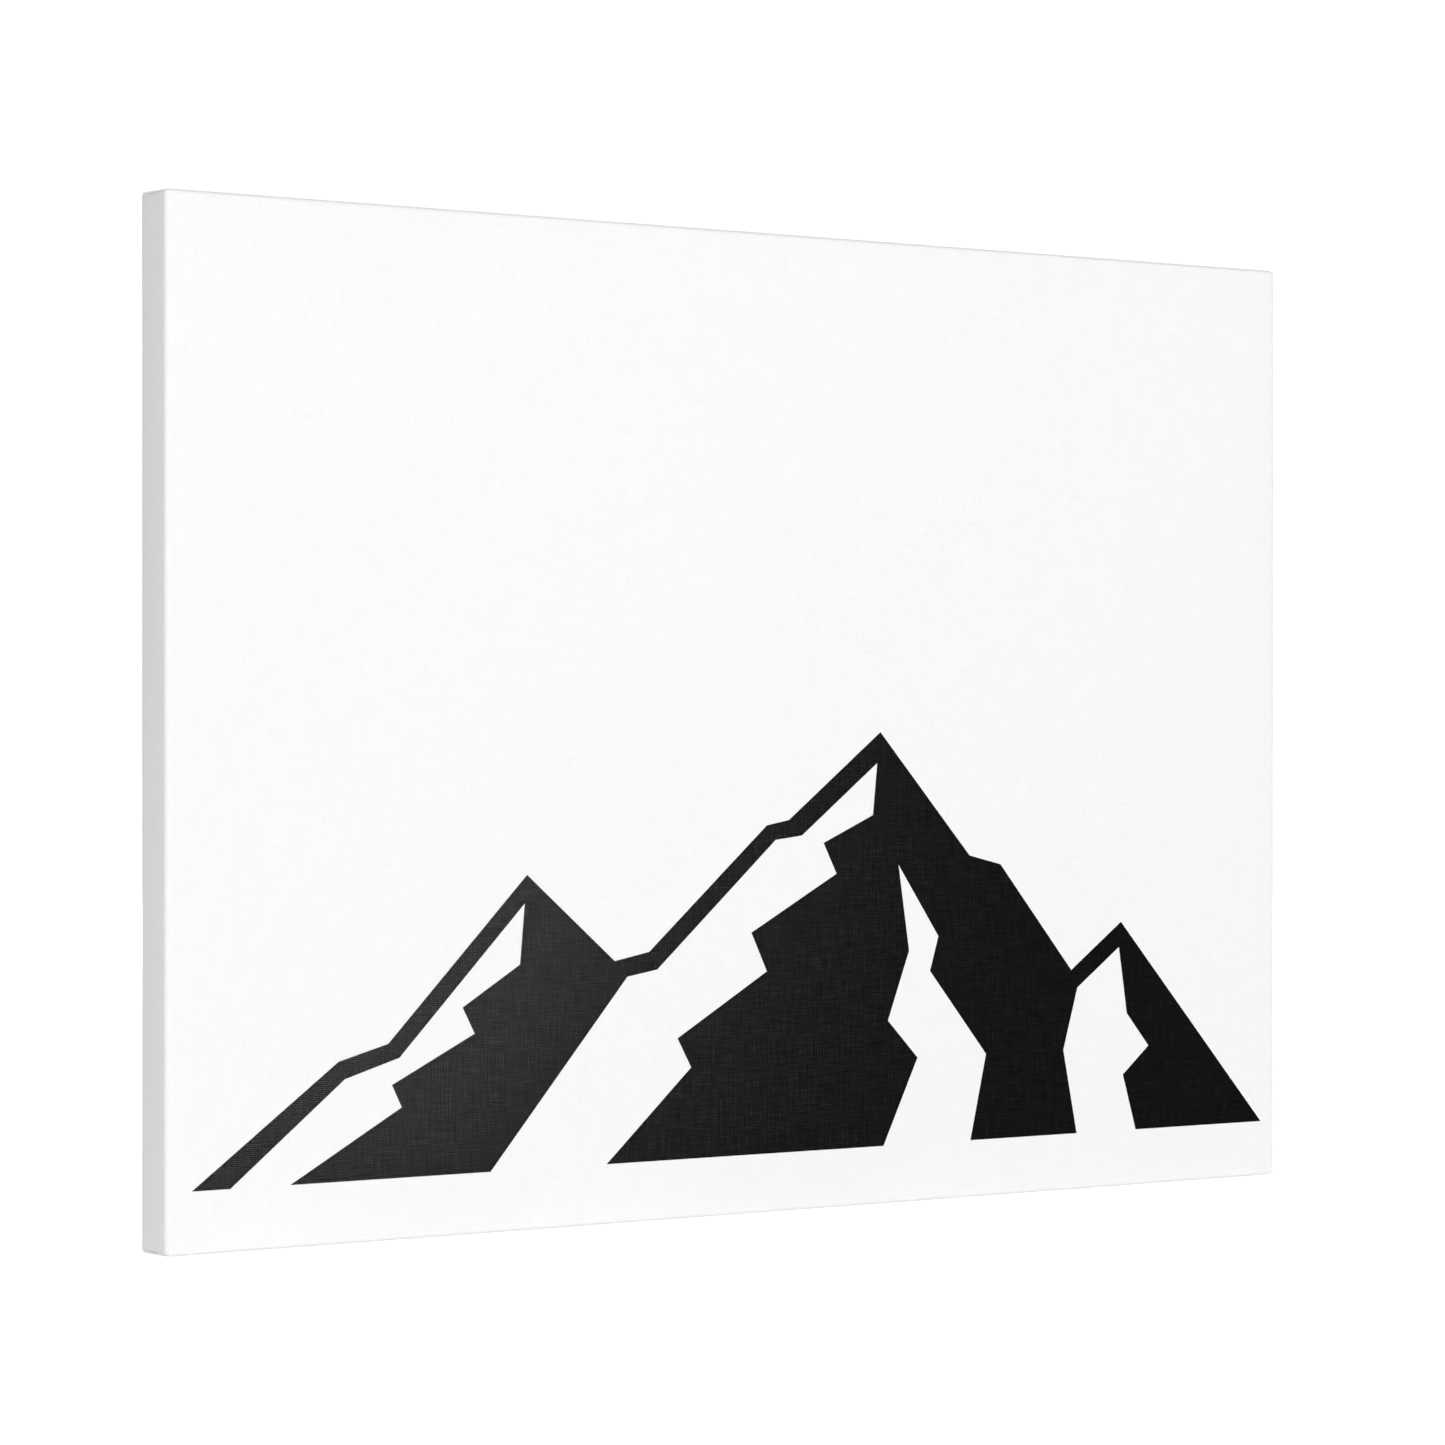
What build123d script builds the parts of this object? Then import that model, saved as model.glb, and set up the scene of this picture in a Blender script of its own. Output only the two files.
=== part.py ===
from build123d import *
import os

# A ready-stretched artist's canvas. +X is to the right seen from the front, -Y is the painted
# side and +Z is up. The origin is the middle of the bottom edge, half way through the depth.
# All sizes are in millimetres.

# The wrapped canvas
WIDTH = 406.4  # 16 in
HEIGHT = 304.8  # 12 in
DEPTH = 17.5  # 11/16 in
CLOTH = 0.45  # primed cotton
FOLD = 2 * CLOTH  # the two more layers of a folded corner
LIP = 28.0  # width of the cloth turned on to the back
FRAME_CORNER = 1.0  # rounding of the wooden frame's outer edges
WRAP_CORNER = FRAME_CORNER + CLOTH

# The wooden frame under the cloth
FRAME_WIDTH = WIDTH - 2 * CLOTH
FRAME_HEIGHT = HEIGHT - 2 * CLOTH
FRAME_DEPTH = DEPTH - 2 * CLOTH
BAR_FACE = 38.0  # width of a stretcher bar
BEAD_WIDTH = 4.5  # raised outer bead that alone touches the stretched cloth
BEAD_STEP = 1.6
BEAD_BEVEL = 1.2
BAR_SLOPE_DROP = 2.4  # how far the bar's inner edge lies behind the cloth
INNER_ROUND = 0.8

# The corner joint: each bar has a tongue in one half of its thickness and a slot in the other
TONGUE = 4.0
JOINT_GAP = 0.1
MITRE_GAP = 0.07
TONGUE_SHORT = 0.2  # a tongue ends this far inside the mating bar's outer edge
KEY_GAP_OUTER = 2.2  # width of the key's gap at the bar's outer edge
KEY_TAPER = 0.237  # how fast that gap widens towards the inner edge
PAST = 1.0  # how far a cutting outline runs past the wood

# The keys
KEY_LENGTH = 38.0
KEY_TIP = 12.0  # from the bar's outer edge to the tip of a seated key
KEY_THICKNESS = 3.4
KEY_FIT = 0.1
KEY_CORNER = 1.5
KEY_POINT = 0.8

# The staples
STAPLE_CROWN = 11.0
STAPLE_LEG = 8.0
STAPLE_THICK = 0.6
STAPLE_WIDE = 0.8
STAPLE_BEND = 0.7
STAPLE_INSET = 10.0  # from the canvas's edge to a row of staples
STAPLE_PITCH_WIDE = 38.0
STAPLE_PITCH_HIGH = 42.0
STAPLES_WIDE = 9
STAPLES_HIGH = 6
CORNER_STAPLE_ALONG = 21.5
CORNER_STAPLE_INSET = 8.0

# The two D-ring hangers
HANGER_INSET = 19.0  # from the canvas's side to the middle of a hanger
HANGER_DROP = 72.8  # from the canvas's top to a ring's pivot
RING_WIRE = 1.0  # radius of the wire
RING_HALF = 7.0
RING_LEG = 2.0
RING_BEND = 1.5
STRAP_WIDTH = 9.0
STRAP_THICK = 0.9
STRAP_LENGTH = 26.0
STRAP_GAP = 0.06  # between the strap's two layers
STRAP_LOOP_END = 125.0  # degrees round the ring at which the upper layer leaves it
STRAP_BEND = 1.2
PIVOT_CLEARANCE = 0.05
LOOP_INSIDE = RING_WIRE + PIVOT_CLEARANCE
PIVOT_HIGH = LOOP_INSIDE + STRAP_THICK  # above the cloth
STRAP_TOP = 2 * STRAP_THICK + STRAP_GAP

# The hanger screws
SCREW_DROP = 20.0  # from the pivot to the screw
SCREW_CORE = 1.1
SCREW_THREAD = 1.6
SCREW_PITCH = 1.25
SCREW_TURNS = 6
THREAD_CREST = 0.3  # shares of the pitch at which a turn reaches its crest
THREAD_FOOT = 0.6  # and is back at the core
SCREW_NECK = 2.0
SCREW_POINT = 1.6
SCREW_HEAD = 3.25
SCREW_HEAD_HIGH = 2.0
SCREW_RIM = 1.0  # how far the head's dome rises from its rim to its middle
SCREW_DOME = (SCREW_HEAD**2 + SCREW_RIM**2) / (2 * SCREW_RIM)
RECESS_LONG = 3.6
RECESS_WIDE = 0.9
RECESS_DEEP = 1.2
RECESS_TAPER = 12.0
STRAP_HOLE = 1.8
PILOT_DEPTH = 10.5

# The wall bumpers
BUMPER_RADIUS = 5.0
BUMPER_HIGH = 3.0
BUMPER_ROUND = 0.9
BUMPER_INSET = 10.0

MIDDLE = HEIGHT / 2
BACK = DEPTH / 2

# Each side of the frame, with the direction in X and Z in which it lies from the centre
SIDES = {"bottom": (0, -1), "right": (1, 0), "top": (0, 1), "left": (-1, 0)}


def bar_length(side):
    if SIDES[side][1]:
        return FRAME_WIDTH
    return FRAME_HEIGHT


def bar_plane(side):
    """x along the bar, y inwards from its outer edge, z towards the front."""
    out_x, out_z = SIDES[side]
    outer_edge = (out_x * FRAME_WIDTH / 2, 0, MIDDLE + out_z * FRAME_HEIGHT / 2)
    return Plane(origin=outer_edge, x_dir=(-out_z, 0, out_x), z_dir=(0, -1, 0))


def back_plane(x, z, height=0.0, along=(-1, 0, 0)):
    """A plane on the back of the wrapped canvas: z points away from the canvas."""
    return Plane(origin=(x, BACK + height, z), x_dir=along, z_dir=(0, 1, 0))


def hanger_plane(side):
    """x across the hanger, y up and z away from the canvas, under the ring's pivot."""
    return back_plane(SIDES[side][0] * (WIDTH / 2 - HANGER_INSET), HEIGHT - HANGER_DROP)


def screw_plane(side, height=0.0):
    hanger = hanger_plane(side)
    return back_plane(hanger.origin.X, hanger.origin.Z - SCREW_DROP, height)


def slot_shoulder(side, depth):
    """Distance from the bar's middle to its slot's shoulder, at a depth from the outer edge."""
    return bar_length(side) / 2 - BAR_FACE - KEY_GAP_OUTER - KEY_TAPER * depth


def save(builder, name):
    builder.part.label = name
    export_step(builder.part, f"parts/{name}.step")


# The rounded block that the assembled wooden frame fills, used to trim the bars and to hollow
# out the cloth
with BuildPart() as former:
    with Locations((0, 0, MIDDLE)):
        Box(FRAME_WIDTH, FRAME_DEPTH, FRAME_HEIGHT)
    fillet(former.edges(), radius=FRAME_CORNER)


def canvas_cloth():
    """The cloth wrapped over the frame, open in the middle of the back."""
    with BuildPart() as cloth:
        with Locations((0, 0, MIDDLE)):
            Box(WIDTH, DEPTH, HEIGHT)
        fillet(cloth.edges(), radius=WRAP_CORNER)
        # The folded corners, which lie on the back between the rounded edges and the lip's edge
        pad = LIP - WRAP_CORNER
        pad_centre = WRAP_CORNER + pad / 2
        with BuildSketch(back_plane(0, MIDDLE)):
            with GridLocations(WIDTH - 2 * pad_centre, HEIGHT - 2 * pad_centre, 2, 2):
                Rectangle(pad, pad)
        extrude(amount=FOLD)
        add(former.part, mode=Mode.SUBTRACT)
        with BuildSketch(back_plane(0, MIDDLE)):
            Rectangle(WIDTH - 2 * LIP, HEIGHT - 2 * LIP)
        extrude(amount=-2 * CLOTH, mode=Mode.SUBTRACT)
        with Locations(screw_plane("left"), screw_plane("right")):
            Hole(radius=SCREW_CORE, depth=2 * CLOTH)
    return cloth


def stretcher_bar(side):
    """One bar: beaded profile, mitred cheeks, a tongue and a slot at each end."""
    plane = bar_plane(side)
    half = bar_length(side) / 2
    front = FRAME_DEPTH / 2
    with BuildPart() as bar:
        across = Plane(origin=plane.origin, x_dir=plane.y_dir, z_dir=plane.x_dir)
        with BuildSketch(across) as profile:
            with BuildLine():
                Polyline(
                    (0, -front),
                    (0, front),
                    (BEAD_WIDTH, front),
                    (BEAD_WIDTH + BEAD_BEVEL, front - BEAD_STEP),
                    (BAR_FACE, front - BAR_SLOPE_DROP),
                    (BAR_FACE, -front),
                    close=True,
                )
            make_face()
            fillet(profile.vertices().group_by(Axis.X)[-1], radius=INNER_ROUND)
        extrude(amount=half - TONGUE_SHORT, both=True)

        # The front and back cheeks are cut to the mitre at both ends
        for towards in (1, -1):
            with BuildSketch(plane.offset(towards * (TONGUE - JOINT_GAP))):
                with BuildLine():
                    Polyline(
                        (half - MITRE_GAP + PAST, -PAST),
                        (half - MITRE_GAP - BAR_FACE - PAST, BAR_FACE + PAST),
                        (half + PAST, BAR_FACE + PAST),
                        close=True,
                    )
                make_face()
                mirror(about=Plane.YZ)
            extrude(amount=towards * FRAME_DEPTH, mode=Mode.SUBTRACT)

        # A slot for the next bar's tongue, behind this bar's own tongue at the leading end and
        # in front of it at the trailing end; its slanted shoulder leaves the key's gap
        for end, bottom in ((1, -TONGUE - JOINT_GAP), (-1, -JOINT_GAP)):
            with BuildSketch(plane.offset(bottom)):
                with BuildLine():
                    Polyline(
                        (end * slot_shoulder(side, -PAST), -PAST),
                        (end * slot_shoulder(side, BAR_FACE + PAST), BAR_FACE + PAST),
                        (end * (half + PAST), BAR_FACE + PAST),
                        (end * (half + PAST), -PAST),
                        close=True,
                    )
                make_face()
            extrude(amount=TONGUE + 2 * JOINT_GAP, mode=Mode.SUBTRACT)

        add(former.part, mode=Mode.INTERSECT)
        if side in ("left", "right"):
            with Locations(screw_plane(side, -CLOTH)):
                Hole(radius=SCREW_CORE, depth=PILOT_DEPTH)
    return bar


def stretcher_key(side, end):
    """The wedge in a bar's slot, driven in from the bar's inner edge; end is 1 or -1."""
    butt = KEY_TIP + KEY_LENGTH
    straight = bar_length(side) / 2 - BAR_FACE - KEY_FIT
    layer_middle = -end * TONGUE / 2
    with BuildPart() as key:
        with BuildSketch(bar_plane(side).offset(layer_middle - KEY_THICKNESS / 2)) as outline:
            with BuildLine():
                Polyline(
                    (end * straight, KEY_TIP),
                    (end * straight, butt),
                    (end * (slot_shoulder(side, butt) + KEY_FIT), butt),
                    (end * (slot_shoulder(side, KEY_TIP) + KEY_FIT), KEY_TIP),
                    close=True,
                )
            make_face()
            fillet(outline.vertices().group_by(Axis.Y)[-1], radius=KEY_CORNER)
            chamfer(outline.vertices().group_by(Axis.Y)[0], length=KEY_POINT)
        extrude(amount=KEY_THICKNESS)
    return key


# One staple, its crown along X and lying on the XY plane, its legs downwards
with BuildPart() as staple:
    with BuildSketch(Plane.XZ.offset(-STAPLE_WIDE / 2)):
        with BuildLine():
            crown_line = STAPLE_THICK / 2
            leg_line = (STAPLE_CROWN - STAPLE_THICK) / 2
            FilletPolyline(
                (-leg_line, STAPLE_THICK - STAPLE_LEG),
                (-leg_line, crown_line),
                (leg_line, crown_line),
                (leg_line, STAPLE_THICK - STAPLE_LEG),
                radius=STAPLE_BEND,
            )
        trace(line_width=STAPLE_THICK)
    extrude(amount=STAPLE_WIDE)


def staple_row(side):
    """The staples along one bar, through the cloth's lip and into the wood."""
    out_x, out_z = SIDES[side]
    if out_z:
        count, pitch = STAPLES_WIDE, STAPLE_PITCH_WIDE
    else:
        count, pitch = STAPLES_HIGH, STAPLE_PITCH_HIGH
    middle_x = out_x * (WIDTH / 2 - STAPLE_INSET)
    middle_z = MIDDLE + out_z * (HEIGHT / 2 - STAPLE_INSET)
    with BuildPart() as row:
        for number in range(count):
            along = (number - (count - 1) / 2) * pitch
            place = back_plane(middle_x - out_z * along, middle_z + out_x * along, 0, (-out_z, 0, out_x))
            with Locations(place):
                add(staple.part)
    return row


def corner_staple_group():
    """Two staples through each folded corner, one along each bar."""
    with BuildPart() as group:
        for across in (-1, 1):
            for up in (-1, 1):
                flat_x = across * (WIDTH / 2 - CORNER_STAPLE_ALONG)
                flat_z = MIDDLE + up * (HEIGHT / 2 - CORNER_STAPLE_INSET)
                upright_x = across * (WIDTH / 2 - CORNER_STAPLE_INSET)
                upright_z = MIDDLE + up * (HEIGHT / 2 - CORNER_STAPLE_ALONG)
                flat = back_plane(flat_x, flat_z, FOLD, (1, 0, 0))
                upright = back_plane(upright_x, upright_z, FOLD, (0, 0, 1))
                with Locations(flat, upright):
                    add(staple.part)
    return group


def hanger_strap(side):
    """A steel strip folded round the ring's straight leg, both layers held by one screw."""
    plane = hanger_plane(side)
    lower = STRAP_THICK / 2
    upper = STRAP_TOP - STRAP_THICK / 2
    with BuildPart() as strap:
        with BuildSketch(Plane(origin=plane.origin, x_dir=plane.y_dir, z_dir=plane.x_dir)):
            with BuildLine():
                Line((-STRAP_LENGTH, lower), (0, lower))
                loop = CenterArc((0, PIVOT_HIGH), LOOP_INSIDE + lower, -90, 90 + STRAP_LOOP_END)
                leaving = loop % 1
                down = (upper - (loop @ 1).Y) / leaving.Y
                FilletPolyline(
                    loop @ 1,
                    loop @ 1 + leaving * down,
                    (-STRAP_LENGTH, upper),
                    radius=STRAP_BEND,
                )
            trace(line_width=STRAP_THICK)
        extrude(amount=STRAP_WIDTH / 2, both=True)
        # The end beyond the screw is round; the rest is kept up to beyond the loop
        round_centre = -STRAP_LENGTH + STRAP_WIDTH / 2
        with BuildSketch(plane):
            with Locations((0, round_centre)):
                Circle(STRAP_WIDTH / 2)
                Rectangle(STRAP_WIDTH, STRAP_LENGTH, align=(Align.CENTER, Align.MIN))
        extrude(amount=2 * PIVOT_HIGH, mode=Mode.INTERSECT)
        with Locations(screw_plane(side, STRAP_TOP)):
            Hole(radius=STRAP_HOLE)
    return strap


def hanger_ring(side):
    """The D ring, lying flat against the canvas and pointing up."""
    with BuildPart() as ring:
        with BuildLine(hanger_plane(side).offset(PIVOT_HIGH)) as d_line:
            FilletPolyline(
                (-RING_HALF, RING_LEG),
                (-RING_HALF, 0),
                (RING_HALF, 0),
                (RING_HALF, RING_LEG),
                radius=RING_BEND,
            )
            ThreePointArc((RING_HALF, RING_LEG), (0, RING_LEG + RING_HALF), (-RING_HALF, RING_LEG))
        with BuildSketch(Plane(origin=d_line.line @ 0, z_dir=d_line.line % 0)):
            Circle(RING_WIRE)
        sweep()
    return ring


# One pan-head wood screw, its head's underside on the XY plane and its point downwards
with BuildPart() as screw:
    with BuildSketch(Plane.XZ):
        with BuildLine():
            thread_foot = -SCREW_NECK - SCREW_TURNS * SCREW_PITCH
            rim = Line((SCREW_HEAD, 0), (SCREW_HEAD, SCREW_HEAD_HIGH - SCREW_RIM))
            RadiusArc(rim @ 1, (0, SCREW_HEAD_HIGH), radius=-SCREW_DOME)
            Line((0, SCREW_HEAD_HIGH), (0, thread_foot - SCREW_POINT))
            Polyline(
                (0, thread_foot - SCREW_POINT),
                (SCREW_CORE, thread_foot),
                *[
                    (radius, thread_foot + (turn + part) * SCREW_PITCH)
                    for turn in range(SCREW_TURNS)
                    for radius, part in (
                        (SCREW_THREAD, THREAD_CREST),
                        (SCREW_CORE, THREAD_FOOT),
                        (SCREW_CORE, 1),
                    )
                ],
                (SCREW_CORE, 0),
                (SCREW_HEAD, 0),
            )
        make_face()
    revolve(axis=Axis.Z)
    # The cross recess
    with BuildSketch(Plane.XY.offset(SCREW_HEAD_HIGH)):
        Rectangle(RECESS_LONG, RECESS_WIDE)
        Rectangle(RECESS_WIDE, RECESS_LONG)
    extrude(amount=-RECESS_DEEP, taper=RECESS_TAPER, mode=Mode.SUBTRACT)


def hanger_screw_pair():
    with BuildPart() as pair:
        with Locations(screw_plane("left", STRAP_TOP), screw_plane("right", STRAP_TOP)):
            add(screw.part)
    return pair


def wall_bumper(side):
    """A rubber stud on a lower folded corner that keeps the canvas off the wall."""
    x = SIDES[side][0] * (WIDTH / 2 - BUMPER_INSET)
    with BuildPart(back_plane(x, BUMPER_INSET, FOLD)) as bumper:
        Cylinder(BUMPER_RADIUS, BUMPER_HIGH, align=(Align.CENTER, Align.CENTER, Align.MIN))
        fillet(bumper.edges().group_by(Axis.Y)[-1], radius=BUMPER_ROUND)
    return bumper


os.makedirs("parts", exist_ok=True)
save(canvas_cloth(), "canvas")
for bar_side in SIDES:
    save(stretcher_bar(bar_side), f"bar_{bar_side}")
    save(staple_row(bar_side), f"staples_{bar_side}")

# Each corner is named by where it is; the bar that leads into it and the one that trails from it
# both have a key there, and a key slides across the bar that holds it
CORNERS = {
    "bottom_right": ("bottom", "right"),
    "top_right": ("right", "top"),
    "top_left": ("top", "left"),
    "bottom_left": ("left", "bottom"),
}
for corner, (leading, trailing) in CORNERS.items():
    for key_side, key_end in ((leading, 1), (trailing, -1)):
        slides = "vertical" if SIDES[key_side][1] else "horizontal"
        save(stretcher_key(key_side, key_end), f"key_{corner}_{slides}")

save(corner_staple_group(), "corner_staples")
save(hanger_screw_pair(), "hanger_screws")
for hand in ("left", "right"):
    save(hanger_strap(hand), f"hanger_strap_{hand}")
    save(hanger_ring(hand), f"hanger_ring_{hand}")
    save(wall_bumper(hand), f"bumper_{hand}")
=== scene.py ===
import math
import random
from collections import namedtuple

import bmesh
import bpy
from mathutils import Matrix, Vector, geometry, noise


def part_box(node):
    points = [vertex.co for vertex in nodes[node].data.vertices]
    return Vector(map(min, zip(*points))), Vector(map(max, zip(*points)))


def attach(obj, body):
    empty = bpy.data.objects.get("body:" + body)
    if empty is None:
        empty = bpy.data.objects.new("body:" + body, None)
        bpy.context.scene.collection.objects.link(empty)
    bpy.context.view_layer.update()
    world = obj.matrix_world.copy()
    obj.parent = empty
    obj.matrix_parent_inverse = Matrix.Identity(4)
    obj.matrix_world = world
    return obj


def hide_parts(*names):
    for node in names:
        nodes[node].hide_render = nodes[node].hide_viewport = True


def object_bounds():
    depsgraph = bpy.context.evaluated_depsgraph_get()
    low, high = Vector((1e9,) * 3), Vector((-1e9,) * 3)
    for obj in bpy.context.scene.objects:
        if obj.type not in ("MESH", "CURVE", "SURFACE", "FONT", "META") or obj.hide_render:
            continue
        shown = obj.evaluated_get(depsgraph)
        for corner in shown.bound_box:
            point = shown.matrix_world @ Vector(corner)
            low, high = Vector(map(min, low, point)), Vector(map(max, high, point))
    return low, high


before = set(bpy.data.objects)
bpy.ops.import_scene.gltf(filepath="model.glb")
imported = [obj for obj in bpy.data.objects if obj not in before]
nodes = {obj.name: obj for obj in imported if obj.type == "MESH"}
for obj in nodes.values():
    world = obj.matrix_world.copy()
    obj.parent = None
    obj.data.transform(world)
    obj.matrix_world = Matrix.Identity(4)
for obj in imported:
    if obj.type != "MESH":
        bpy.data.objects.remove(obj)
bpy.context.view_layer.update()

MM = 0.001

# ---------------------------------------------------------------- sizes from the frame
canvas_low, canvas_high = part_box("canvas")
bars_low, bars_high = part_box("bar_bottom")
CLOTH = bars_low.z - canvas_low.z
LEFT, RIGHT = canvas_low.x, canvas_high.x
BOTTOM, TOP = canvas_low.z, canvas_high.z
FRONT = canvas_low.y
BACK = bars_high.y + CLOTH
WIDTH, HEIGHT, DEPTH = RIGHT - LEFT, TOP - BOTTOM, BACK - FRONT
BACK_FOLD = canvas_high.y - BACK  # the folded corners stand this proud on the back
CENTRE = Vector(((LEFT + RIGHT) / 2, (FRONT + BACK) / 2, (BOTTOM + TOP) / 2))

# ---------------------------------------------------------------- the cloth's own sizes
ROUND = 1.45 * MM  # the wrapped edges
THICK = 0.40 * MM
INK = 0.05 * MM  # the printed picture stands this proud of the front
LIP = 28 * MM  # cloth turned on to the back
LIP_SWAY = 0.8 * MM  # how far its raw edge wanders, in long waves and in short ones
LIP_JITTER = 0.2 * MM
SWAYS, JITTERS = 60, 350  # such waves to a metre
SIDE_CROWN = 0.12 * MM  # how far the sides swell between their two edges
SIDE_UNEVEN = 0.05 * MM  # how uneven the cloth lies on the sides
BACK_UNEVEN = 0.12 * MM  # and how much more so towards its raw edge
UNEVEN_ALONG, UNEVEN_ACROSS = 25, 60  # unevenness to a metre
UNEVEN_RISE = 4 * MM  # over which it sets in

# The folded corners, where the top and bottom flaps lie over the left and right ones
CORNER_CAP = ROUND * math.pi / 4  # cloth that rounds a front corner before the flaps part
FOLD_START = 7 * MM  # from the front corner to where the fold begins to show
FOLD_RISE = 9 * MM  # over which it then reaches its thickness
FOLD_EASE = 2.2 * MM  # width of the slope beside the fold
FOLD_SPARE = 2 * MM  # how much further in than back the hidden layers reach
SIDE_FOLD = 0.38 * MM  # how proud a fold stands on the top and bottom
FOLD_FLUSH = 3 * MM  # over which it thins out towards the side on the back
FOLD_AT_SIDE = 0.15  # share of its thickness left at the side
FOLD_ROUND = 0.6 * MM  # radius of the folded edge
FOLD_SET_BACK = 0.35 * MM  # how far in from the side that edge lies on the back
OVER_TURN, UNDER_TURN = 90, 75  # how far the flaps' ends turn round the corner, in degrees
UNDER_SUNK = 0.03 * MM  # how far an end that lies under the fold is pressed in
TUCK = 0.6 * MM  # the layer turned in under the folded edge
TUCK_STEPS = (0.33, 0.66, 1.0)
TUCK_SLOPE, TUCK_BEND = 0.9, 0.3  # how steeply it runs in, and how much it then levels off

# The hollow that a staple pulls into the cloth and the swelling around it
STAPLE_APART = 5 * MM
DIP_DEEP, DIP_LONG, DIP_WIDE = 0.16 * MM, 5 * MM, 2.2 * MM
SWELL_HIGH, SWELL_LONG, SWELL_WIDE = 0.10 * MM, 3 * MM, 2 * MM
SWELL_AWAY = 4 * MM

# Loose threads at the raw edges
THREAD = 0.11 * MM  # radius
THREAD_LENGTHS = (1.0, 4.5)  # mm
THREAD_LIFT = 0.5  # mm that an end stands off the wood at most
THREAD_GAPS = (0.6, 0.6, 1.2, 3, 6, 11)  # mm
THREAD_GAP_SPREAD = (0.6, 1.4)  # the factors that a gap is stretched by at least and at most
THREAD_LEAN, THREAD_CURL = 0.6, 0.5  # how far an end leans and bends aside, of its length
THREAD_HELD = 0.4 * MM  # length that stays in the cloth
THREADS_FROM = 1.2 * LIP  # from a canvas corner
THREAD_SIDES = 6
THREAD_STEPS = 8

# Fineness of the mesh
COLUMN = 1.5 * MM
PANEL_GRID = 7 * MM
EDGE_BANDS = (0, 0.25, 0.5, 0.75, 1)  # shares of the front's rounded edge
FRONT_TURN = 45  # degrees of the rounded edge that belong to the front
SIDE_TURN = (60, 75, 90)  # the angles that the rows after it face, until the side
BACK_TURN = (108, 126, 144, 162, 180)  # and from the side to the back
SIDE_ROWS, LIP_ROWS = 9, 18
FINEST_CUT = 0.01 * MM  # points of the front that are closer than this are one
AT_EDGE = 0.02 * MM  # a point this close to the edge of the front lies on it
SAME_PLACE = 0.002 * MM

random.seed(7)


# ---------------------------------------------------------------- small helpers
def ease(t):
    t = min(1.0, max(0.0, t))
    return t * t * (3 - 2 * t)


def mix(a, b, t):
    return a + (b - a) * t


def clamp(value, low, high):
    return min(high, max(low, value))


def hill(distance, width):
    """1 at the top of a smooth hill, falling off over its width."""
    return math.exp(-((distance / width) ** 2))


def spaced(start, stop, step):
    """Even places from start to stop, about step apart, both ends included."""
    count = max(1, round(abs(stop - start) / step))
    return [mix(start, stop, i / count) for i in range(count + 1)]


def smooth_outwards(mesh):
    """Shades every face smoothly and turns it outwards."""
    for face in mesh.faces:
        face.smooth = True
    bmesh.ops.recalc_face_normals(mesh, faces=mesh.faces)


def unfold(mesh, sheet):
    """Gives the faces a UV map, which is each vertex's place on the unfolded cloth in metres."""
    weave_uv = mesh.loops.layers.uv.new("sheet")
    for face in mesh.faces:
        for corner in face.loops:
            corner[weave_uv].uv = sheet[corner.vert]


def piece_from(mesh, name):
    """Turns a bmesh into a piece in the scene."""
    data = bpy.data.meshes.new(name)
    mesh.to_mesh(data)
    mesh.free()
    piece = bpy.data.objects.new(name, data)
    bpy.context.scene.collection.objects.link(piece)
    return piece


# ---------------------------------------------------------------- the printed picture
# A plain three-summit mountain range in black with straight-edged snow, in shares of the
# canvas's width and height from its lower left corner.
RANGE = [
    (0.020, 0.060), (0.135, 0.175), (0.175, 0.190), (0.290, 0.350), (0.365, 0.262),
    (0.395, 0.270), (0.500, 0.395), (0.520, 0.400), (0.605, 0.490), (0.690, 0.360),
    (0.720, 0.350), (0.790, 0.235), (0.840, 0.285), (0.985, 0.060),
]
LEFT_SUMMIT_SNOW = [
    (0.288, 0.322), (0.184, 0.176), (0.140, 0.158), (0.045, 0.055), (0.090, 0.055),
    (0.186, 0.128), (0.178, 0.150), (0.246, 0.196), (0.236, 0.222), (0.284, 0.262),
]
MAIN_SUMMIT_SNOW = [
    (0.602, 0.458), (0.532, 0.384), (0.508, 0.380), (0.402, 0.252), (0.376, 0.246),
    (0.256, 0.055), (0.354, 0.055), (0.432, 0.152), (0.420, 0.182), (0.500, 0.246),
    (0.486, 0.286), (0.564, 0.344), (0.552, 0.376), (0.598, 0.404),
]
GULLY_SNOW = [
    (0.622, 0.352), (0.660, 0.276), (0.652, 0.240), (0.706, 0.150), (0.690, 0.055),
    (0.606, 0.055), (0.640, 0.150), (0.612, 0.190), (0.632, 0.262),
]
RIGHT_SUMMIT_SNOW = [
    (0.838, 0.258), (0.796, 0.216), (0.782, 0.150), (0.796, 0.055), (0.856, 0.055),
    (0.842, 0.120), (0.868, 0.150), (0.846, 0.186),
]
SNOW = (LEFT_SUMMIT_SNOW, MAIN_SUMMIT_SNOW, GULLY_SNOW, RIGHT_SUMMIT_SNOW)


def outline(shares):
    """A closed outline on the front, in metres."""
    return [Vector((LEFT + x * WIDTH, BOTTOM + z * HEIGHT)) for x, z in shares]


def inside(point, polygon):
    """Whether the point is in the polygon, by counting crossings."""
    within = False
    for a, b in zip(polygon, polygon[1:] + polygon[:1]):
        if (a.y > point.y) != (b.y > point.y):
            if point.x < (b.x - a.x) * (point.y - a.y) / (b.y - a.y) + a.x:
                within = not within
    return within


# ---------------------------------------------------------------- the front of the cloth
BARE, UNDER_PRINT = 0, 1  # material places of the front's faces
BEHIND = 2  # how many places further on the material of a face's back is


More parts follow.
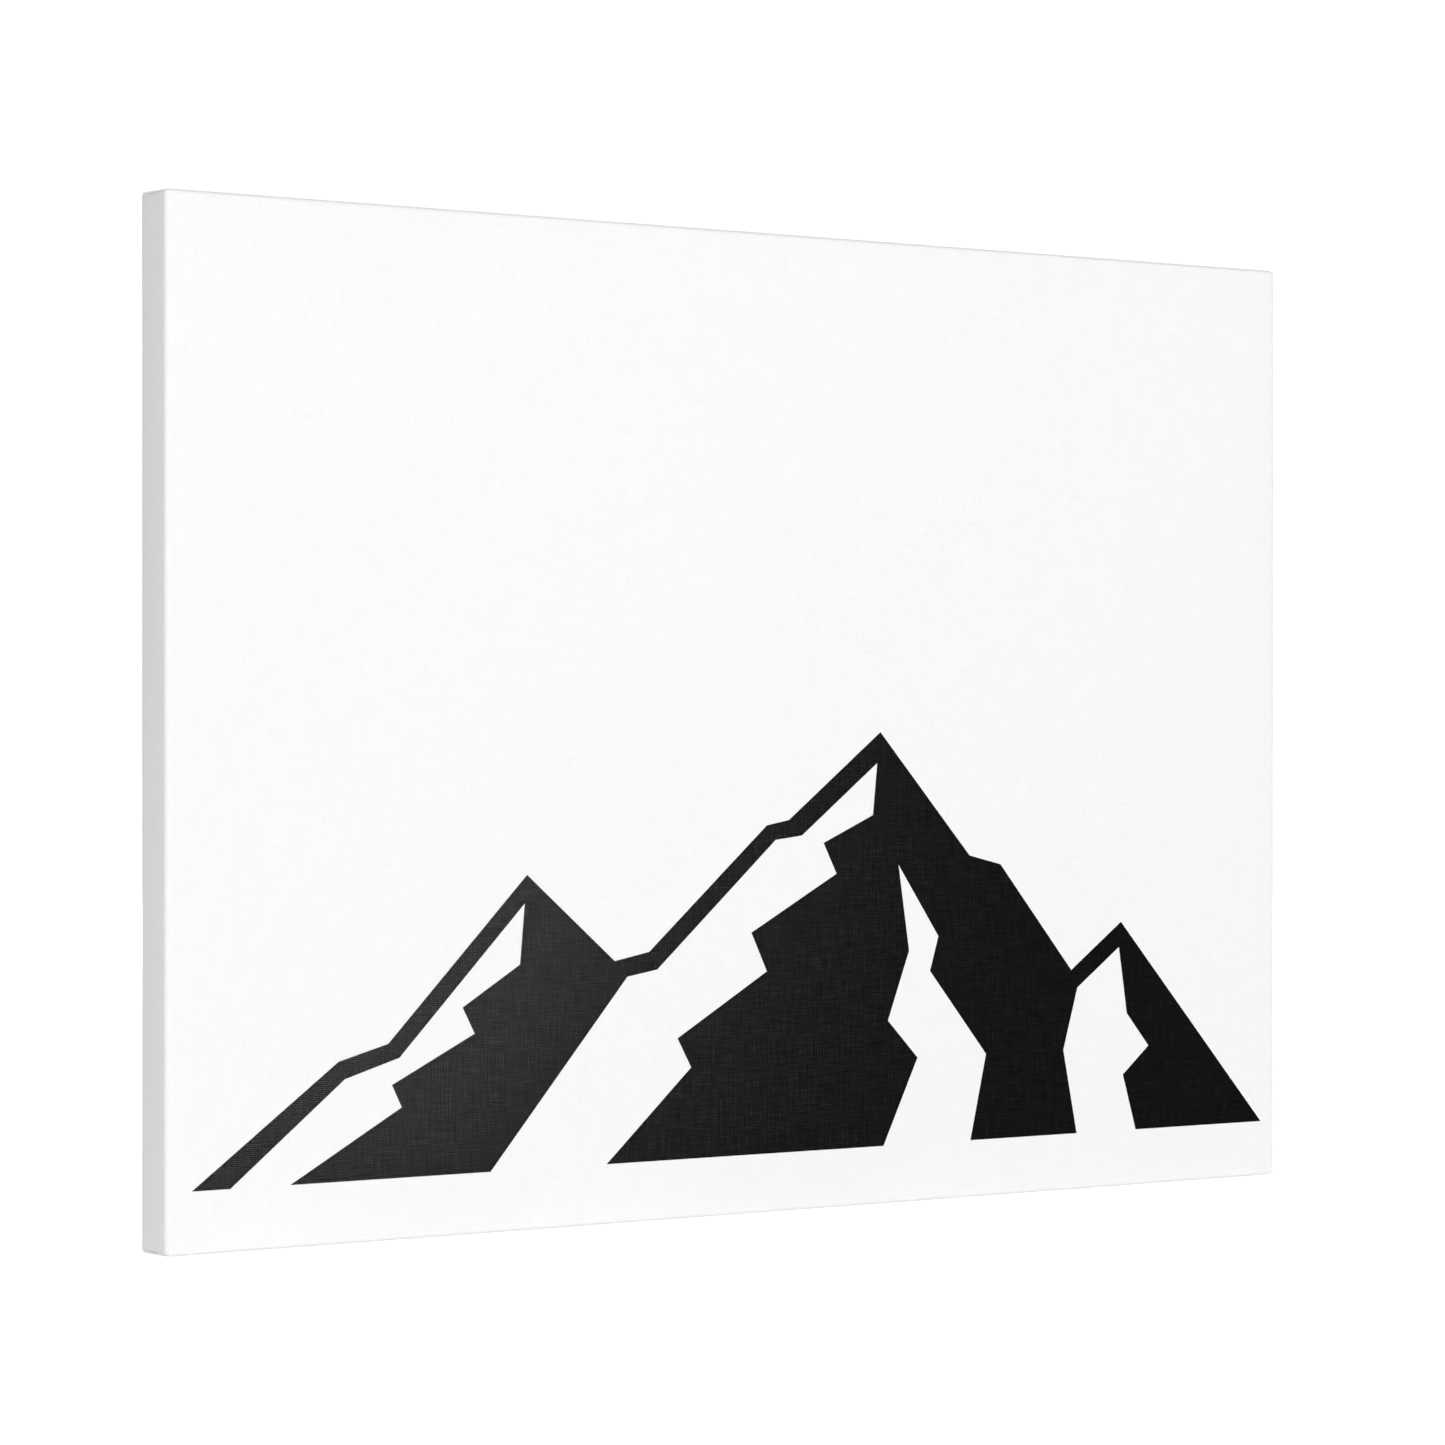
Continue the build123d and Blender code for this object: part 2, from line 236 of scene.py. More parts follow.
def front_point(x, z):
    """A place on the front, whose edges start to turn round a radius."""
    centre = Vector((
        clamp(x, LEFT + ROUND, RIGHT - ROUND),
        FRONT + ROUND,
        clamp(z, BOTTOM + ROUND, TOP - ROUND),
    ))
    return centre + (Vector((x, FRONT, z)) - centre).normalized() * ROUND


def edge_places(low, high):
    """Places along an edge of the front: closer together where it turns, even between."""
    turn = [ROUND * share for share in EDGE_BANDS[:-1]]
    before = [low + t for t in turn]
    after = [high - t for t in reversed(turn)]
    return before + spaced(low + ROUND, high - ROUND, COLUMN) + after


def panel_points():
    """The points of the front's mesh, in X and Z, apart from those of the picture."""
    points = []
    for share in EDGE_BANDS:
        inset = ROUND * share
        for x in edge_places(LEFT, RIGHT):
            points += [Vector((x, z)) for z in (BOTTOM + inset, TOP - inset)]
        for z in edge_places(BOTTOM, TOP):
            points += [Vector((x, z)) for x in (LEFT + inset, RIGHT - inset)]
    for x in spaced(LEFT + COLUMN, RIGHT - COLUMN, PANEL_GRID):
        points += [Vector((x, z)) for z in spaced(BOTTOM + COLUMN, TOP - COLUMN, PANEL_GRID)]
    return points


def front_panel(mesh, sheet):
    """The front, cut along the picture's outlines. Returns the rows of edge vertices by side.
    The sheet holds each vertex's place on the unfolded cloth."""
    rock = outline(RANGE)
    snow = [outline(shares) for shares in SNOW]
    points = []
    edges = []
    for polygon in [rock] + snow:
        first = len(points)
        count = len(polygon)
        points += polygon
        edges += [(first + i, first + (i + 1) % count) for i in range(count)]
    points += panel_points()
    places, _, faces, _, _, _ = geometry.delaunay_2d_cdt(points, edges, [], 0, FINEST_CUT)

    corners = [mesh.verts.new(front_point(p.x, p.y)) for p in places]
    for corner, place in zip(corners, places):
        sheet[corner] = place
    for indices in faces:
        centre = sum((places[i] for i in indices), Vector((0, 0))) / len(indices)
        face = mesh.faces.new([corners[i] for i in indices])
        inked = inside(centre, rock) and not any(inside(centre, s) for s in snow)
        face.material_index = UNDER_PRINT if inked else BARE

    rows = {
        "top": [v for v in corners if sheet[v].y > TOP - AT_EDGE],
        "bottom": [v for v in corners if sheet[v].y < BOTTOM + AT_EDGE],
        "left": [v for v in corners if sheet[v].x < LEFT + AT_EDGE],
        "right": [v for v in corners if sheet[v].x > RIGHT - AT_EDGE],
    }
    for side, row in rows.items():
        row.sort(key=lambda v: sheet[v].x if side in ("top", "bottom") else sheet[v].y)
    return rows


# ---------------------------------------------------------------- the flaps of the cloth
Row = namedtuple("Row", "angle share way_in run")


def section_rows():
    """How the cloth runs from the front over one edge to the back. Each row has the angle it
    faces (0 front, 90 out, 180 back), the share of the way across the side, the share of the
    way in on the back, and the length of cloth from the front's edge."""
    quarter = ROUND * math.pi / 2
    rows = [Row(a, 0.0, 0.0, quarter * (a - FRONT_TURN) / 90) for a in SIDE_TURN]
    start = rows[-1].run
    for share in spaced(0, 1, 1 / SIDE_ROWS)[1:]:
        rows.append(Row(90, share, 0.0, start + share * (DEPTH - 2 * ROUND)))
    start = rows[-1].run
    for angle in BACK_TURN:
        rows.append(Row(angle, 1.0, 0.0, start + quarter * (angle - 90) / 90))
    start = rows[-1].run
    for share in spaced(0, 1, 1 / LIP_ROWS)[1:]:
        rows.append(Row(180, 1.0, share, start + share * (LIP - ROUND)))
    return rows


def on_back(run):
    """0 while the cloth is still on a side, 1 once it has turned on to the back."""
    return ease((run - DEPTH + 2 * ROUND) / (3 * ROUND))


class Flap:
    """One edge's cloth, from the front's row of vertices to the raw edge on the back."""

    SEEDS = {"top": 3.1, "bottom": 17.7, "left": 31.3, "right": 47.9}

    def __init__(self, side):
        self.side = side
        self.seed = self.SEEDS[side]
        self.over = side in ("top", "bottom")
        if self.over:
            self.low, self.high, self.half = LEFT, RIGHT, HEIGHT / 2
            self.along, outer, self.middle = Vector((1, 0, 0)), Vector((0, 0, 1)), CENTRE.z
        else:
            self.low, self.high, self.half = BOTTOM, TOP, WIDTH / 2
            self.along, outer, self.middle = Vector((0, 0, 1)), Vector((1, 0, 0)), CENTRE.x
        self.sign = 1 if side in ("top", "right") else -1
        self.out = outer * self.sign
        self.base = outer * self.middle
        self.find_staples()

    def find_staples(self):
        """Reads the places of this side's staples along it, and how far in they lie."""
        node = "staples_" + self.side
        axis = 0 if self.over else 2
        values = sorted(v.co[axis] for v in nodes[node].data.vertices)
        groups = [[values[0]]]
        for value in values[1:]:
            if value - groups[-1][-1] > STAPLE_APART:
                groups.append([])
            groups[-1].append(value)
        self.staples = [(group[0] + group[-1]) / 2 for group in groups]
        low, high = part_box(node)
        self.staples_in = self.half - abs((low + high)[2 - axis] / 2 - self.middle)

    def point_at(self, along, inwards, y):
        """A point by its place along the flap, how far in from the side it is and its depth."""
        point = self.base + self.along * along + self.out * (self.half - inwards)
        point.y = y
        return point

    def raw_edge(self, place):
        """How far in from the side the raw edge runs on the back, at a place along it."""
        sway = noise.noise((place * SWAYS, self.seed, 0))
        jitter = noise.noise((place * JITTERS, self.seed, 5))
        return LIP + LIP_SWAY * sway + LIP_JITTER * jitter

    def fold_height(self, inwards, run):
        """How far the cloth is lifted over the tucked layers of a corner."""
        if not self.over:
            sunk = UNDER_SUNK * ease((run - CORNER_CAP) / FOLD_RISE)
            return -sunk * ease(1 - inwards / FOLD_EASE)
        hidden_edge = min(run + FOLD_SPARE, LIP)
        within = 1 - ease((inwards - hidden_edge) / FOLD_EASE)
        at_side = mix(FOLD_AT_SIDE, 1, ease(inwards / FOLD_FLUSH))
        height = mix(SIDE_FOLD, BACK_FOLD * at_side, on_back(run))
        return height * within * ease((run - FOLD_START) / FOLD_RISE)

    def staple_pull(self, place, inwards):
        """How far the nearest staple draws the cloth in (less than 0) or makes it swell."""
        beside = min(abs(place - staple) for staple in self.staples)
        away = abs(inwards - self.staples_in)
        dip = DIP_DEEP * hill(beside, DIP_LONG) * hill(away, DIP_WIDE)
        swell = SWELL_HIGH * hill(beside, SWELL_LONG) * hill(away - SWELL_AWAY, SWELL_WIDE)
        return swell - dip

    def height(self, place, inwards, row, lip):
        """How far the cloth stands off the frame's plain surface."""
        uneven = SIDE_UNEVEN + BACK_UNEVEN * row.way_in
        uneven *= noise.noise((place * UNEVEN_ALONG, row.run * UNEVEN_ACROSS, self.seed))
        height = self.fold_height(inwards, row.run)
        height += SIDE_CROWN * (1 - (2 * row.share - 1) ** 2)
        height += uneven * ease((row.run - CORNER_CAP) / UNEVEN_RISE)
        if row.way_in > 0:
            height += self.staple_pull(place, lip + ROUND)
        return height

    def cloth_point(self, place, row, tuck):
        """Where the cloth lies at a place along the flap. Tuck goes from 0 at the folded edge
        to 1 at the end of the layer turned in under it."""
        inwards = min(place - self.low, self.high - place)
        end = -1 if place - self.low < self.high - place else 1
        turn = math.radians(row.angle)
        facing = Vector((0, -math.cos(turn), 0)) + self.out * math.sin(turn)
        lip = row.way_in * (self.raw_edge(place) - ROUND)
        parting = row.run - CORNER_CAP
        radius = mix(ROUND, FOLD_ROUND, ease(parting / FOLD_RISE)) if self.over else ROUND
        band = clamp(1 - inwards / ROUND, 0, 1)
        centre_along = clamp(place, self.low + ROUND, self.high - ROUND)
        if self.over and band > 0:
            centre_along += end * (ROUND - radius - FOLD_SET_BACK * on_back(row.run))

        # Both flaps meet on one seam round the front corner, then part: one over, one under
        seam = math.atan(band * math.sin(min(turn, math.pi / 2)))
        parted = band * math.radians(OVER_TURN if self.over else UNDER_TURN)
        theta = mix(seam, parted, ease(parting / FOLD_START))
        y = FRONT + ROUND + row.share * (DEPTH - 2 * ROUND)
        point = self.point_at(centre_along, ROUND + lip, y)
        point += facing * (ROUND + self.height(place, inwards, row, lip) - radius)
        point += radius * (self.along * (end * math.sin(theta)) + facing * math.cos(theta))

        tucked = TUCK * ease((row.run - FOLD_START) / FOLD_RISE)
        point -= facing * tucked * (TUCK_SLOPE * tuck - TUCK_BEND * tuck**2)
        point -= self.along * (end * tucked * tuck**2)
        return point

    def build(self, mesh, sheet, front_row):
        """Adds the flap's faces, beginning from the front's row of edge vertices."""
        places = [sheet[v].x if self.over else sheet[v].y for v in front_row]
        previous = list(front_row)
        for row in section_rows():
            tucks = TUCK_STEPS if self.over and row.run > FOLD_START else ()
            columns = [(places[0], t) for t in reversed(tucks)]
            columns += [(place, 0) for place in places]
            columns += [(places[-1], t) for t in tucks]
            begun = (len(columns) - len(previous)) // 2
            previous = [previous[0]] * begun + previous + [previous[-1]] * begun
            current = []
            for place, tuck in columns:
                vertex = mesh.verts.new(self.cloth_point(place, row, tuck))
                beyond = self.middle + self.sign * (self.half + row.run)
                sheet[vertex] = Vector((place, beyond)) if self.over else Vector((beyond, place))
                current.append(vertex)
            for i in range(len(columns) - 1):
                loop = [previous[i], previous[i + 1], current[i + 1], current[i]]
                loop = list(dict.fromkeys(loop))
                if len(loop) > 2:
                    mesh.faces.new(loop if self.side in ("top", "left") else loop[::-1])
            previous = current


FLAPS = [Flap(side) for side in ("top", "bottom", "left", "right")]


def canvas_piece():
    """The whole sheet of cloth: front, four sides, folded corners and back lips."""
    mesh = bmesh.new()
    sheet = {}
    rows = front_panel(mesh, sheet)
    for flap in FLAPS:
        flap.build(mesh, sheet, rows[flap.side])
    unfold(mesh, sheet)
    bmesh.ops.remove_doubles(mesh, verts=mesh.verts, dist=SAME_PLACE)
    smooth_outwards(mesh)
    piece = piece_from(mesh, "canvas_wrap")
    solid = piece.modifiers.new("cloth_thickness", "SOLIDIFY")
    solid.thickness = THICK
    solid.offset = -1
    solid.material_offset = BEHIND
    solid.material_offset_rim = BEHIND
    return piece


# ---------------------------------------------------------------- the ink on the cloth
def printed_picture():
    """The layer of ink, a thin sheet of its own in front of the cloth."""
    mesh = bmesh.new()
    sheet = {}
    front_panel(mesh, sheet)
    bare = [face for face in mesh.faces if face.material_index == BARE]
    bmesh.ops.delete(mesh, geom=bare, context="FACES")
    unfold(mesh, sheet)
    for vertex in mesh.verts:
        vertex.co.y -= INK
    for face in mesh.faces:
        face.material_index = 0
        face.normal_update()
        if face.normal.y > 0:
            face.normal_flip()
    piece = piece_from(mesh, "printed_picture")
    solid = piece.modifiers.new("ink_thickness", "SOLIDIFY")
    solid.thickness = INK
    solid.offset = -1
    return piece


# ---------------------------------------------------------------- loose threads
def tube(mesh, path, radius):
    """A closed round thread along a path; its sides are set out across the first step."""
    ahead = (path[1] - path[0]).normalized()
    across = ahead.cross(Vector((0, 1, 0))).normalized()
    rise = across.cross(ahead)
    turns = [2 * math.pi * i / THREAD_SIDES for i in range(THREAD_SIDES)]
    section = [radius * (across * math.cos(t) + rise * math.sin(t)) for t in turns]
    rings = [[mesh.verts.new(place + offset) for offset in section] for place in path]
    for ring, following in zip(rings, rings[1:]):
        for i in range(THREAD_SIDES):
            j = (i + 1) % THREAD_SIDES
            mesh.faces.new([ring[i], ring[j], following[j], following[i]])
    mesh.faces.new(rings[0][::-1])
    mesh.faces.new(rings[-1])


def frayed_threads():
    """Loose thread ends along the raw edges, lying on the wood."""
    mesh = bmesh.new()
    on_cloth = BACK - THICK / 2
    on_wood = BACK - CLOTH + THREAD
    for flap in FLAPS:
        place = flap.low + THREADS_FROM
        while place < flap.high - THREADS_FROM:
            length = random.uniform(*THREAD_LENGTHS) * MM
            lean = random.uniform(-THREAD_LEAN, THREAD_LEAN)
            curl = random.uniform(-THREAD_CURL, THREAD_CURL)
            lift = random.uniform(0, THREAD_LIFT) * MM
            held = flap.raw_edge(place) - THREAD_HELD
            path = []
            for t in spaced(0, 1, 1 / THREAD_STEPS):
                along = place + length * t * (lean + curl * t)
                y = mix(on_cloth, on_wood, ease(3 * t)) + lift * t * t
                path.append(flap.point_at(along, held + length * t, y))
            tube(mesh, path, THREAD)
            place += random.choice(THREAD_GAPS) * random.uniform(*THREAD_GAP_SPREAD) * MM
    smooth_outwards(mesh)
    return piece_from(mesh, "frayed_threads")


# ---------------------------------------------------------------- material helper
class Shader:
    """Builds one material's nodes; every value argument is a number, colour or socket."""

    def __init__(self, name, roughness=0.5, metallic=0.0):
        self.material = bpy.data.materials.new(name)
        self.material.use_nodes = True
        self.tree = self.material.node_tree
        self.surface = self.tree.nodes["Principled BSDF"]
        self.set(self.surface, "Roughness", roughness)
        self.set(self.surface, "Metallic", metallic)

    def set(self, node, name, value):
        if isinstance(value, bpy.types.NodeSocket):
            self.tree.links.new(value, node.inputs[name])
        elif isinstance(value, tuple) and node.inputs[name].type == "RGBA":
            node.inputs[name].default_value = (*value, 1)
        else:
            node.inputs[name].default_value = value

    def node(self, kind, inputs=None, **settings):
        made = self.tree.nodes.new("ShaderNode" + kind)
        for key, value in settings.items():
            setattr(made, key, value)
        for key, value in (inputs or {}).items():
            self.set(made, key, value)
        return made

    def math(self, operation, *values):
        made = self.node("Math", dict(enumerate(values)), operation=operation)
        return made.outputs[0]

    def times(self, a, b):
        return self.math("MULTIPLY", a, b)

    def plus(self, a, b):
        return self.math("ADD", a, b)

    def times_plus(self, a, b, c):
        return self.math("MULTIPLY_ADD", a, b, c)

    def mix(self, share, first, second):
        made = self.node("Mix", data_type="RGBA")
        self.set(made, 0, share)
        self.set(made, 6, first)
        self.set(made, 7, second)
        return made.outputs[2]

    def ramp(self, value, low, high):
        made = self.node("MapRange", {0: value, 1: low, 2: high})
        return made.outputs[0]

    def noise(self, vector, scale, detail=3.0, roughness=0.5):
        made = self.node("TexNoise", {
            "Vector": vector, "Scale": scale, "Detail": detail, "Roughness": roughness,
        })
        return made.outputs[0]

    def stretched(self, vector, scale, offset=(0, 0, 0)):
        made = self.node("Mapping", {"Vector": vector, "Scale": scale, "Location": offset})
        return made.outputs[0]

    def place(self):
        return self.node("TexCoord").outputs["Object"]

    def bump(self, height, distance):
        made = self.node("Bump", {"Height": height, "Distance": distance, "Strength": 1.0})
        return made.outputs[0]

    def done(self, colour, roughness=None, normal=None, specular=None):
        self.set(self.surface, "Base Color", colour)
        if roughness is not None:
            self.set(self.surface, "Roughness", roughness)
        if normal is not None:
            self.set(self.surface, "Normal", normal)
        if specular is not None:
            self.set(self.surface, "Specular IOR Level", specular)
        return self.material


def grey(tone):
    return (tone, tone, tone)


def darker(colour, share):
    return tuple(channel * share for channel in colour)


# ---------------------------------------------------------------- cloth materials
WEAVE = 0.57 * MM  # thread to thread
SLUB = 110  # thick and thin stretches of a thread in a metre
CRIMP = 0.35  # share of the weave's height from threads passing over and under
BLOTS = 90.0  # patches to a metre
FIBRES = 5200.0


def plain_weave(shader):
    """Height of a plain weave, 0 to 1, and its slow unevenness, both on the unfolded sheet."""
    uv = shader.node("UVMap", uv_map="sheet").outputs[0]
    per_metre = 1 / WEAVE
    slub = shader.noise(shader.stretched(uv, (SLUB, per_metre, 1)), 1.0, 2.0)
    slub_across = shader.noise(shader.stretched(uv, (per_metre, SLUB, 1)), 1.0, 2.0)
    split = shader.node("SeparateXYZ", {0: uv})
    across = shader.times(split.outputs[0], per_metre)
    up = shader.times(split.outputs[1], per_metre)

    def half_wave(value):
        return shader.math("SINE", shader.times(value, math.pi))

    def thread(this, other, lean):
        """Height of the threads numbered by this, which pass over and under along other."""
        odd = shader.math("PINGPONG", shader.math("FLOOR", this), 1.0)
        over_first = shader.plus(shader.times(odd, -2.0 * lean), lean)
        crossing = shader.times(half_wave(other), over_first)
        round_top = half_wave(shader.math("FRACT", this))
        return shader.times_plus(crossing, CRIMP, shader.times(round_top, 1 - CRIMP))

    warp = thread(across, up, 1.0)
    weft = thread(up, across, -1.0)
    return shader.math("MAXIMUM", warp, weft), shader.plus(slub, slub_across)


def cloth_material(name, colour, groove_shade, roughness, depth, specular, blot=0.0):
    """Woven cloth: colour on the threads, and groove_shade between them, a darker colour that is
    painted shade in the hollows of the weave; depth of the weave in metres, and blot, the share
    by which its darkest patches are darker."""
    shader = Shader(name)
    weave, uneven = plain_weave(shader)
    threads = shader.times(shader.ramp(weave, 0.15, 0.75), shader.ramp(uneven, 0.3, 1.1))
    # Painted shade: between the threads the tone falls to the darker second colour, standing in
    # for the shade in the weave's hollows.
    tone = shader.mix(threads, groove_shade, colour)
    if blot:
        patches = shader.ramp(shader.noise(shader.place(), BLOTS, 4.0), 0.35, 0.7)
        tone = shader.mix(shader.times(patches, 0.5), tone, darker(colour, 1 - blot))
    normal = shader.bump(shader.plus(weave, shader.times(uneven, 0.35)), depth)
    rough = shader.times_plus(uneven, 0.06, roughness - 0.06)
    gloss = shader.times(shader.ramp(uneven, 0.2, 1.8), 2 * specular)
    return shader.done(tone, rough, normal, gloss)


# The second grey of each cloth is the painted shade between its threads.
def primed_cotton():
    return cloth_material(
        "primed_cotton", grey(0.93), grey(0.88), roughness=0.72, depth=0.05 * MM, specular=0.3
    )


def black_print():
    return cloth_material(
        "black_print", grey(0.0025), grey(0.001), roughness=0.22, depth=0.03 * MM, specular=0.06
    )


def raw_cotton(name, colour, groove_shade):
    """The unprimed back of the cloth, a little blotchy."""
    return cloth_material(
        name, colour, groove_shade, roughness=0.9, depth=0.11 * MM, specular=0.15, blot=0.12
    )


def loose_cotton():
    """Twisted cotton thread, without a weave."""
    shader = Shader("loose_cotton")
    fibres = shader.noise(shader.place(), FIBRES, 3.0)
    tone = shader.mix(fibres, (0.60, 0.55, 0.46), (0.84, 0.81, 0.74))
    return shader.done(tone, 0.9, shader.bump(fibres, 0.03 * MM), 0.15)


# The bare faces and those under the print are both primed. Their backs are BEHIND places further
# on: raw cloth, a shade darker where the print lies on its other side.
primed = primed_cotton()
canvas = canvas_piece()
# The second colour of each raw cotton is the painted shade between its threads.
raw = raw_cotton("raw_cotton", (0.80, 0.74, 0.62), (0.56, 0.50, 0.40))
raw_behind_print = raw_cotton("raw_cotton_behind_print", (0.77, 0.71, 0.60), (0.54, 0.48, 0.385))
for material in (primed, primed, raw, raw_behind_print):
    canvas.data.materials.append(material)
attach(canvas, "frame")
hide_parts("canvas")

picture = printed_picture()
picture.data.materials.append(black_print())
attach(picture, "frame")

threads = frayed_threads()
threads.data.materials.append(loose_cotton())
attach(threads, "frame")

# ---------------------------------------------------------------- wood
PINE = ((0.78, 0.60, 0.38), (0.56, 0.36, 0.17))  # early wood and late wood
KEY_WOOD = ((0.74, 0.57, 0.37), (0.55, 0.37, 0.20))
ALONG_GRAIN = 0.035  # how much slower the wood changes along its grain
ALONG_KNOT = 0.55
KNOTS = 11.0  # cells to a metre; about half of them hold a knot
KNOT_EDGE = (0.10, 0.07)  # from where a knot begins to where it is full, in cells
KNOT_REACH = 0.42  # how far from a knot the grain bends round it
GRAIN_BENDS = 28.0  # patterns to a metre, as are the next three
RING_WAVERS = 95.0
WOOD_FIBRES = 1400.0
STAINS = 14.0
BAR_ARRIS = 0.3 * MM
KEY_ARRIS = 0.25 * MM
SHARP = math.radians(35)  # corners that turn by more than this are eased
ONE_POINT = 0.001 * MM


def along_grain(axis, share):
    """The scale that draws a pattern out along one axis."""
    scale = [1.0, 1.0, 1.0]
    scale[axis] = share
    return tuple(scale)


def pine(name, axis, seed, light, dark):
    """Pine with its grain along an axis (0 for x, 2 for z), bending round a few knots."""
    shader = Shader(name)
    place = shader.place()
    offset = (seed, seed * 0.7, seed * 1.3)
    grain = shader.stretched(place, along_grain(axis, ALONG_GRAIN), offset)
    knot_offset = (seed * 2.1, seed, seed * 0.4)
    cells = shader.node("TexVoronoi", {
        "Vector": shader.stretched(place, along_grain(axis, ALONG_KNOT), knot_offset),
        "Scale": KNOTS,
    })
    any_number = shader.node("SeparateColor", {0: cells.outputs["Color"]}).outputs[0]
    present = shader.ramp(any_number, 0.45, 0.5)
    distance = cells.outputs["Distance"]
    nearness = shader.times(shader.ramp(distance, KNOT_REACH, 0.0), present)
    knot = shader.times(shader.ramp(distance, *KNOT_EDGE), present)

    bend = shader.noise(grain, GRAIN_BENDS, 2.0)
    waver = shader.times(shader.noise(grain, RING_WAVERS, 1.0), 5.0)
    rings = shader.times_plus(bend, 9.0, waver)
    rings = shader.times_plus(shader.math("POWER", nearness, 2.0), 5.0, rings)
    late_wood = shader.ramp(shader.math("FRACT", rings), 0.45, 0.95)
    fibre = shader.noise(grain, WOOD_FIBRES, 4.0, 0.7)
    stain = shader.ramp(shader.noise(place, STAINS, 3.0), 0.35, 0.75)

    tone = shader.mix(shader.times(late_wood, 0.75), light, dark)
    tone = shader.mix(shader.times(shader.ramp(fibre, 0.45, 0.75), 0.35), tone, dark)
    tone = shader.mix(shader.times(stain, 0.25), tone, darker(light, 0.82))
    tone = shader.mix(shader.times(knot, 0.85), tone, darker(dark, 0.42))
    normal = shader.bump(shader.plus(fibre, shader.times(late_wood, 0.5)), 0.08 * MM)
    rough = shader.times_plus(fibre, 0.2, 0.52)
    return shader.done(tone, rough, normal, 0.3)


def paint(node, material):
    data = nodes[node].data
    data.materials.clear()
    data.materials.append(material)


def ease_arrises(node, width):
    """Rounds the sharp corners of a CAD node a little, as sanding does."""
    weld = nodes[node].modifiers.new("joined", "WELD")
    weld.merge_threshold = ONE_POINT
    bevel = nodes[node].modifiers.new("eased", "BEVEL")
    bevel.width = width
    bevel.segments = 2
    bevel.limit_method = "ANGLE"
    bevel.angle_limit = SHARP
    bevel.harden_normals = True


# The seed gives each bar and key a stretch of the pattern of its own
for number, name in enumerate(("bar_top", "bar_bottom", "bar_left", "bar_right")):
    ease_arrises(name, BAR_ARRIS)
    grain_axis = 0 if name in ("bar_top", "bar_bottom") else 2
    paint(name, pine(name + "_pine", grain_axis, 0.37 + number * 1.9, *PINE))
for number, name in enumerate(sorted(n for n in nodes if n.startswith("key_"))):
    ease_arrises(name, KEY_ARRIS)
    grain_axis = 0 if name.endswith("horizontal") else 2
    paint(name, pine(name + "_wood", grain_axis, 5.2 + number * 0.83, *KEY_WOOD))

# ---------------------------------------------------------------- metal and rubber
DULL_PATCHES = 260.0  # patterns to a metre, as are the next three
SCRATCHES = 4200.0
RUBBER_GRAIN = 2600.0
DUST = 420.0


def metal(name, colour, roughness, scratch):
    """Plated steel with fine scratches and dull patches."""
    shader = Shader(name, metallic=1.0)
    place = shader.place()
    patches = shader.noise(place, DULL_PATCHES, 4.0)
    lines = shader.noise(shader.stretched(place, (1, 1, 0.06)), SCRATCHES, 2.0)
    rough = shader.times_plus(patches, 0.25, roughness - 0.1)
    rough = shader.times_plus(lines, 0.12, rough)
    tone = shader.mix(shader.ramp(patches, 0.4, 0.8), colour, darker(colour, 0.78))
    return shader.done(tone, rough, shader.bump(shader.plus(lines, patches), scratch))


def rubber(name):
    """Black rubber, moulded with a fine grain and a little dusty."""
    shader = Shader(name)
    place = shader.place()
    grain = shader.noise(place, RUBBER_GRAIN, 3.0)
    dust = shader.ramp(shader.noise(place, DUST, 5.0), 0.5, 0.8)
    tone = shader.mix(shader.times(dust, 0.35), (0.022, 0.022, 0.024), (0.12, 0.12, 0.115))
    rough = shader.times_plus(grain, 0.25, 0.6)
    return shader.done(tone, rough, shader.bump(grain, 0.06 * MM), 0.3)


staple_steel = metal("staple_steel", (0.62, 0.63, 0.65), roughness=0.32, scratch=0.01 * MM)
strap_nickel = metal("strap_nickel", (0.70, 0.68, 0.63), roughness=0.28, scratch=0.012 * MM)
ring_nickel = metal("ring_nickel", (0.74, 0.72, 0.68), roughness=0.20, scratch=0.008 * MM)
screw_steel = metal("screw_steel", (0.66, 0.63, 0.55), roughness=0.30, scratch=0.01 * MM)
bumper_rubber = rubber("bumper_rubber")
for name in nodes:
    if "staples" in name:
        paint(name, staple_steel)
    if name.startswith("hanger_strap"):
        paint(name, strap_nickel)
    if name.startswith("hanger_ring"):
        paint(name, ring_nickel)
    if name.startswith("bumper"):
        paint(name, bumper_rubber)
paint("hanger_screws", screw_steel)

# ---------------------------------------------------------------- floor, light, camera
LOW_ANGLE, HIGH_ANGLE = 0.15, 0.36  # sines of the camera's angle above the floor
GLOW_AT_LOW_ANGLE, GLOW_AT_HIGH_ANGLE = 0.66, 0.08
FLOOR_BOUNCE = 0.12  # the light that the floor gives off in every direction
FLOOR_SIZE = 40
ROOM_BRIGHT = (-0.85, -0.45, 0.30)
ROOM_LIT, ROOM_DIM = 0.67, 0.14
BACKDROP = 1.05
WHITE = grey(1.0)


def studio_floor():
    """A pale floor, lit from within a little, that brightens into the white backdrop where it
    is seen at a low angle."""
    bpy.ops.mesh.primitive_plane_add(size=FLOOR_SIZE, location=(0, 0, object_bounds()[0].z))
    floor = bpy.context.object
    floor.name = "floor"
    shader = Shader("floor", roughness=0.9)
    seen = shader.node("LightPath").outputs["Is Camera Ray"]
    towards_eye = shader.node("NewGeometry").outputs["Incoming"]
    upright = shader.node("SeparateXYZ", {0: towards_eye}).outputs[2]
    glow = shader.node("MapRange", {
        "Value": upright, "From Min": LOW_ANGLE, "From Max": HIGH_ANGLE,
        "To Min": GLOW_AT_LOW_ANGLE, "To Max": GLOW_AT_HIGH_ANGLE,
    }).outputs[0]
    shader.set(shader.surface, "Emission Color", WHITE)
    shader.set(shader.surface, "Emission Strength", shader.times_plus(seen, glow, FLOOR_BOUNCE))
    floor.data.materials.append(shader.done(grey(0.92), specular=0.0))


